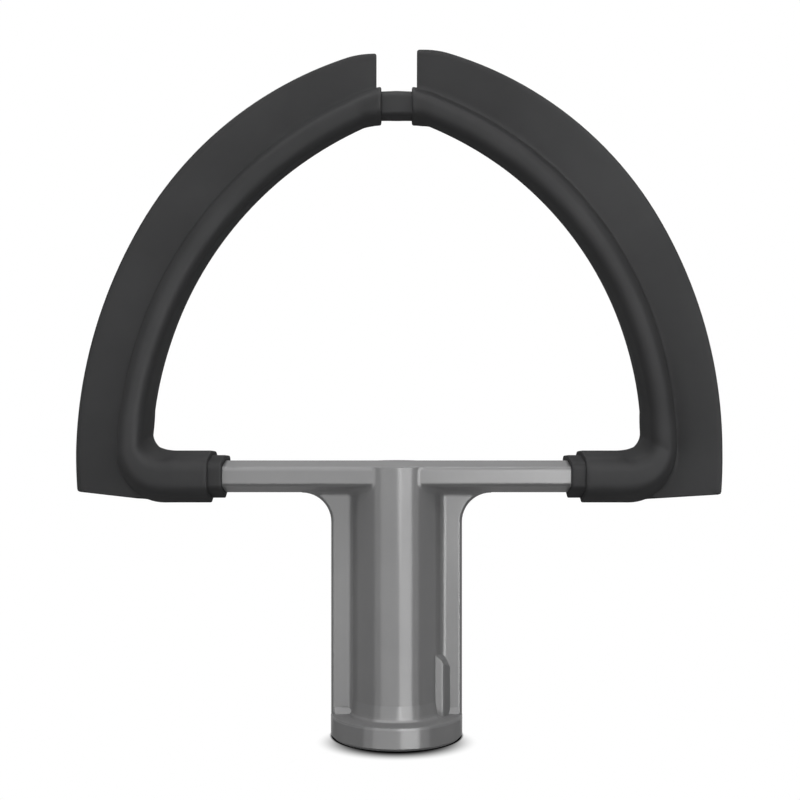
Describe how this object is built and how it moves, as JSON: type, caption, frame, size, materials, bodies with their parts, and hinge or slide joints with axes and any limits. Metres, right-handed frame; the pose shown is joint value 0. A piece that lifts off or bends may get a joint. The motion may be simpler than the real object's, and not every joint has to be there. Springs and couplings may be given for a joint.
{
  "type": "stand mixer flat beater",
  "caption": "Flat beater for a stand mixer: a coated cast hub and crossbar carry an open arch sleeved in dark plastic, edged with flexible scraper blades.",
  "frame": {"origin": "centre of the foot ring's face, on the drive shaft's axis", "axes": "+Z along the drive shaft's axis from the hub's mouth to the arch's top; X along the crossbar; the half of the arch on +X leans towards -Y. In use the beater hangs with +Z down."},
  "size_m": [0.1422, 0.0288, 0.1502],
  "materials": {
    "cast_coating": "satin",
    "hard_plastic": "satin",
    "flexible_silicone": "matte"
  },
  "bodies": {
    "root": {"cast_frame": "cast_coating", "hard_sleeve": "hard_plastic", "flex_edge_right": "flexible_silicone", "flex_edge_left": "flexible_silicone"}
  },
  "joints": []
}
